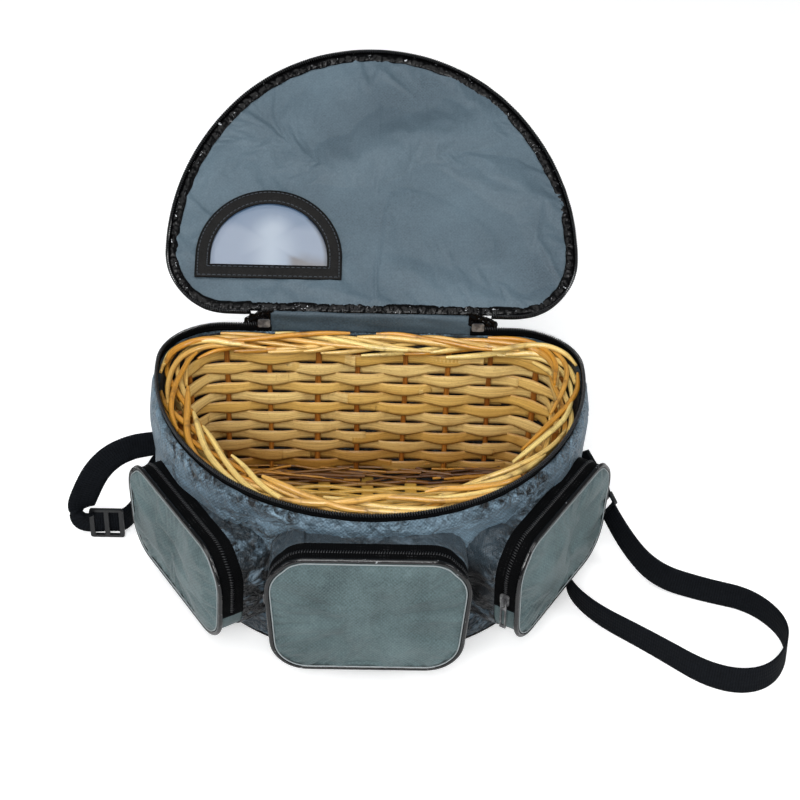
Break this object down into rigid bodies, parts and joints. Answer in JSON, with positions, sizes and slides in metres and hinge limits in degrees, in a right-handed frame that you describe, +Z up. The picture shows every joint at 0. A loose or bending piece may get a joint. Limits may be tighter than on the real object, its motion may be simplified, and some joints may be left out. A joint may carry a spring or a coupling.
{
  "type": "fishing creel",
  "caption": "Cloth fishing creel bag with a zipped lid leaning open, outer pockets, a shoulder strap and a woven willow basket inside.",
  "frame": {"origin": "on the floor under the middle of the bag", "axes": "+Z up, -Y to the front of the bag where the middle pocket is, +X to the right seen from the front"},
  "size_m": [0.6225, 0.5138, 0.3287],
  "materials": {
    "body_cloth": "wrinkled coated nylon",
    "lining_cloth": "grey-blue nylon with a soft sheen",
    "pocket_cloth": "grey-green coarse nylon weave",
    "dark_cloth": "black semi-gloss cloth",
    "piping": "black piping with a silver thread line",
    "zip_tape": "black zip tape with fine coil",
    "webbing": "black woven webbing",
    "leatherette": "black leatherette, stitched",
    "film": "clear soft film",
    "slider_metal": "grey enamelled metal",
    "buckle_plastic": "black moulded plastic",
    "willow_rod": "golden willow, varnished",
    "willow_strip": "pale tan split willow",
    "willow_stake": "dark red-brown willow",
    "floor_wood": "dark brown split wood"
  },
  "bodies": {
    "bag": {"bag_base": "body_cloth", "bag_wall": "body_cloth", "base_piping": "piping", "bag_zip_tape": "zip_tape", "hinge_panel": "dark_cloth", "basket_stakes": "willow_stake", "basket_border_lower": "willow_rod", "basket_border_upper": "willow_rod", "basket_floor_sticks": "floor_wood", "basket_floor_rods": "floor_wood", "strap_webbing": "webbing", "strap_patch_left": "dark_cloth", "strap_patch_right": "dark_cloth", "strap_ring": "buckle_plastic", "strap_link": "webbing", "strap_buckle": "buckle_plastic", "basket_row_1": "willow_strip", "basket_row_2": "willow_strip", "basket_row_3": "willow_strip", "basket_row_4": "willow_strip", "basket_row_5": "willow_strip", "basket_row_6": "willow_strip", "basket_row_7": "willow_strip", "basket_row_8": "willow_strip", "basket_row_9": "willow_strip", "basket_row_10": "willow_strip", "basket_row_11": "willow_strip", "basket_row_12": "willow_strip", "pocket_front_gusset": "body_cloth", "pocket_front_zip": "zip_tape", "pocket_front_face": "pocket_cloth", "pocket_front_piping": "piping", "pocket_left_gusset": "body_cloth", "pocket_left_zip": "zip_tape", "pocket_left_face": "pocket_cloth", "pocket_left_piping": "piping", "pocket_right_gusset": "body_cloth", "pocket_right_zip": "zip_tape", "pocket_right_face": "pocket_cloth", "pocket_right_piping": "piping"},
    "lid": {"lid_flap": "dark_cloth", "lid_panel": "body_cloth", "lid_lining": "lining_cloth", "lid_binding": "dark_cloth", "lid_zip_tape": "zip_tape", "lid_window_frame": "leatherette", "lid_window_trim": "leatherette", "lid_window_film": "film"},
    "lid_slider_left": {"lid_slider_left": "slider_metal"},
    "lid_slider_right": {"lid_slider_right": "slider_metal"},
    "lid_pull_left": {"lid_pull_left": "slider_metal"},
    "lid_pull_right": {"lid_pull_right": "slider_metal"},
    "pocket_front_slider": {"pocket_front_slider": "slider_metal"},
    "pocket_front_pull": {"pocket_front_pull": "slider_metal"},
    "pocket_left_slider": {"pocket_left_slider": "slider_metal"},
    "pocket_left_pull": {"pocket_left_pull": "slider_metal"},
    "pocket_right_slider": {"pocket_right_slider": "slider_metal"},
    "pocket_right_pull": {"pocket_right_pull": "slider_metal"}
  },
  "joints": [
    {"name": "lid_hinge", "type": "hinge", "parent": "bag", "child": "lid", "pos_m": [0, 0.1324, 0.168], "axis": [1, 0, 0], "range_deg": [0, 144]},
    {"name": "lid_slider_left_slide", "type": "slide", "parent": "bag", "child": "lid_slider_left", "axis": [-1, 0, 0], "range_m": [0, 0.02]},
    {"name": "lid_pull_left_swing", "type": "hinge", "parent": "lid_slider_left", "child": "lid_pull_left", "pos_m": [-0.0955, 0.1354, 0.1605], "axis": [0, 0, 1], "range_deg": [0, 165]},
    {"name": "lid_slider_right_slide", "type": "slide", "parent": "bag", "child": "lid_slider_right", "axis": [1, 0, 0], "range_m": [0, 0.02]},
    {"name": "lid_pull_right_swing", "type": "hinge", "parent": "lid_slider_right", "child": "lid_pull_right", "pos_m": [0.0955, 0.1354, 0.1605], "axis": [0, 0, -1], "range_deg": [0, 165]},
    {"name": "pocket_front_slide", "type": "slide", "parent": "bag", "child": "pocket_front_slider", "axis": [-0.0659, 0, 0.9978], "range_m": [0, 0.024]},
    {"name": "pocket_front_pull_swing", "type": "hinge", "parent": "pocket_front_slider", "child": "pocket_front_pull", "pos_m": [-0.07962, -0.152, 0.08876], "axis": [0, 1, 0], "range_deg": [0, 165]},
    {"name": "pocket_left_slide", "type": "slide", "parent": "bag", "child": "pocket_left_slider", "axis": [-0.0443, 0.0708, 0.9965], "range_m": [0, 0.024]},
    {"name": "pocket_left_pull_swing", "type": "hinge", "parent": "pocket_left_slider", "child": "pocket_left_pull", "pos_m": [-0.19282, -0.00279, 0.0687], "axis": [0.848, 0.5299, 0], "range_deg": [0, 165]},
    {"name": "pocket_right_slide", "type": "slide", "parent": "bag", "child": "pocket_right_slider", "axis": [-0.04, -0.064, 0.9971], "range_m": [0, 0.024]},
    {"name": "pocket_right_pull_swing", "type": "hinge", "parent": "pocket_right_slider", "child": "pocket_right_pull", "pos_m": [0.10804, -0.13848, 0.07773], "axis": [-0.848, 0.5299, 0], "range_deg": [0, 165]}
  ]
}
